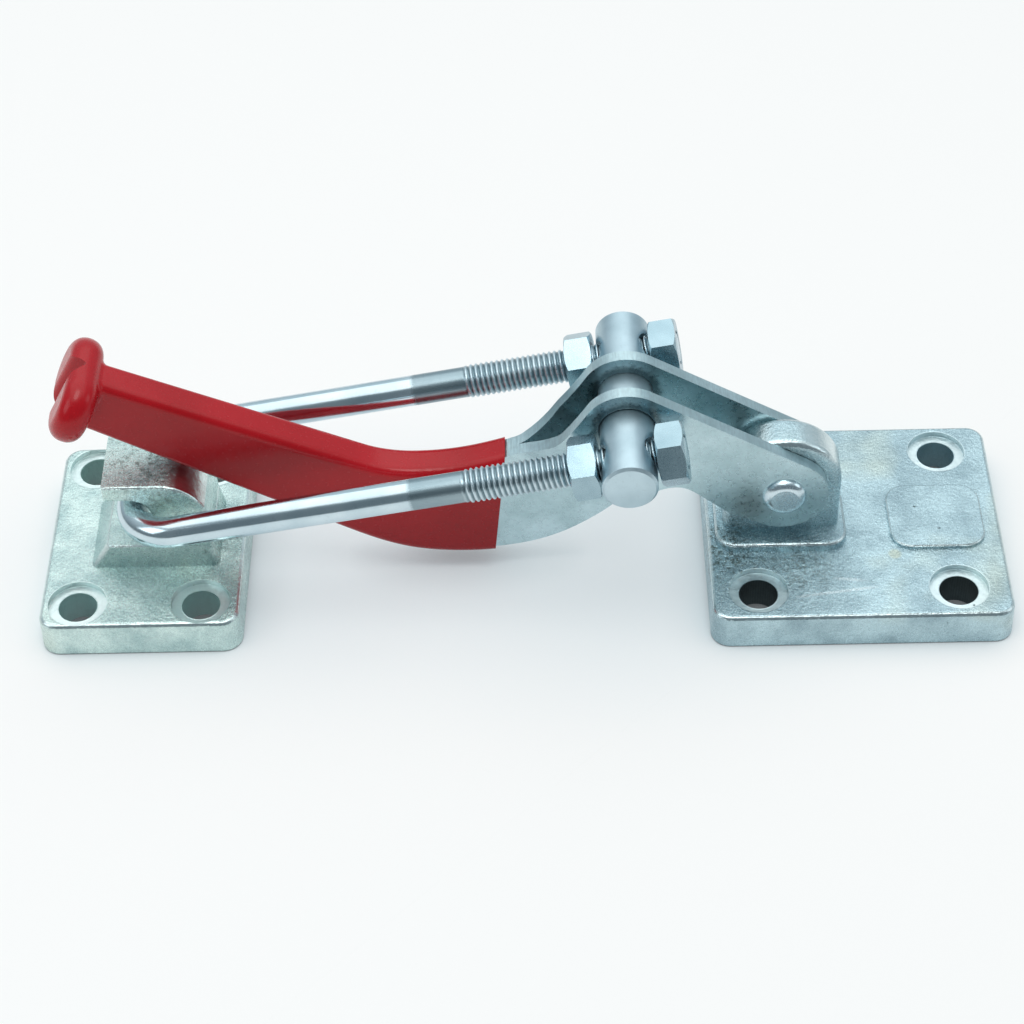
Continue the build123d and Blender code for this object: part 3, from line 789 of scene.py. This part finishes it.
# painted shade: the card's colour darkens in the screw holes and close under the plates
paper = mix_colour(tree, between(tree, crevice, 0.22, 0.60), HOLE_SHADE_PAINT, PAPER)
shelter = put(tree, "AmbientOcclusion", {"Distance": SHELTER}).outputs["AO"]
tint = between(tree, shelter, 0.45, 0.95, 0.75, 0.0)
paper = mix_colour(tree, tint, paper, SHADOW_TINT, "MULTIPLY")
lit = put(tree, "BsdfDiffuse", {"Color": paper})
glow = put(tree, "Emission", {"Color": (0.865, 0.92, 0.95, 1), "Strength": 1.0})
rays = put(tree, "LightPath").outputs
seen = math_node(tree, "MAXIMUM", rays["Is Camera Ray"], rays["Is Glossy Ray"])
seen = math_node(tree, "MAXIMUM", seen, rays["Is Transmission Ray"])
share = math_node(tree, "MULTIPLY", math_node(tree, "MULTIPLY", seen, GLOW_SHARE), crevice)
blend = put(tree, "MixShader", {0: share, 1: lit.outputs[0], 2: glow.outputs[0]})
put(tree, "OutputMaterial", {"Surface": blend.outputs[0]})
floor.data.materials.append(card)
print("floor:", [round(size, 1) for size in floor.dimensions], "m")

# %% [markdown]
# The world stands for a room that is bright above and behind the clamp and dim in front,
# so that the metal has something dark to reflect as well as something light.

# %% World
DIM, BRIGHT_ROOM = (0.21, 0.25, 0.275), (0.74, 0.84, 0.90)
BACKWARD_SHARE, UPWARD_SHARE = 0.65, 0.75

world = bpy.data.worlds.new("studio")
bpy.context.scene.world = world
world.use_nodes = True
tree = world.node_tree
tree.nodes.clear()
direction = put(tree, "TexCoord").outputs["Generated"]
axes = put(tree, "SeparateXYZ", {"Vector": direction}).outputs
towards_light = math_node(
    tree, "ADD",
    math_node(tree, "MULTIPLY", axes["Y"], BACKWARD_SHARE),
    math_node(tree, "MULTIPLY", axes["Z"], UPWARD_SHARE))
sky = mix_colour(tree, between(tree, towards_light, 0.10, 0.85), DIM, BRIGHT_ROOM)
background = put(tree, "Background", {"Color": sky, "Strength": 0.85})
put(tree, "OutputWorld", {"Surface": background.outputs[0]})
print("world:", world.name, "with", len(tree.nodes), "nodes")

# %% Lamps
MIDDLE = Vector((-0.07, 0, 0.02))


def soft_lamp(name, where, size, power, colour):
    """A square area lamp that points at the middle of the clamp."""
    data = bpy.data.lights.new(name, "AREA")
    data.size, data.energy, data.color = size, power, colour
    lamp = bpy.data.objects.new(name, data)
    bpy.context.scene.collection.objects.link(lamp)
    lamp.location = where
    lamp.rotation_euler = (MIDDLE - Vector(where)).to_track_quat("-Z", "Y").to_euler()
    print(name + ":", power, "W,", size, "m wide")


soft_lamp("overhead", (-0.15, 0.25, 0.95), 1.4, 5.6, (1.0, 0.97, 0.93))
soft_lamp("strip", (-0.10, -0.16, 1.0), 0.45, 2.2, (1.0, 0.99, 0.97))
soft_lamp("left", (-0.75, -0.25, 0.5), 0.4, 0.9, (0.92, 0.97, 1.0))
soft_lamp("right", (0.8, -0.1, 0.45), 0.4, 0.7, (0.94, 0.98, 1.0))

# %% [markdown]
# The camera looks down at about 45 degrees from the clamp's near side. Its place and its
# two directions are given, and its third one follows from them.

# %% Camera
CAMERA_PLACE = Vector((-0.0722, -0.4218, 0.4421))
SIGHT = Vector((-0.01345, 0.70195, -0.71213)).normalized()
LEVEL = Vector((0.99972, -0.00466, -0.02348))

data = bpy.data.cameras.new("camera")
data.sensor_width = 36.0
data.lens = 89.03
data.clip_end = 20
camera = bpy.data.objects.new("camera", data)
bpy.context.scene.collection.objects.link(camera)
camera_right = (LEVEL - SIGHT * LEVEL.dot(SIGHT)).normalized()
camera_up = camera_right.cross(SIGHT)
turn = Matrix((camera_right, camera_up, -SIGHT)).transposed().to_4x4()
camera.matrix_world = Matrix.Translation(CAMERA_PLACE) @ turn
bpy.context.scene.camera = camera
bpy.context.scene.view_settings.view_transform = "Standard"
print("camera:", round((MIDDLE - CAMERA_PLACE).length, 3), "m from the clamp's middle")
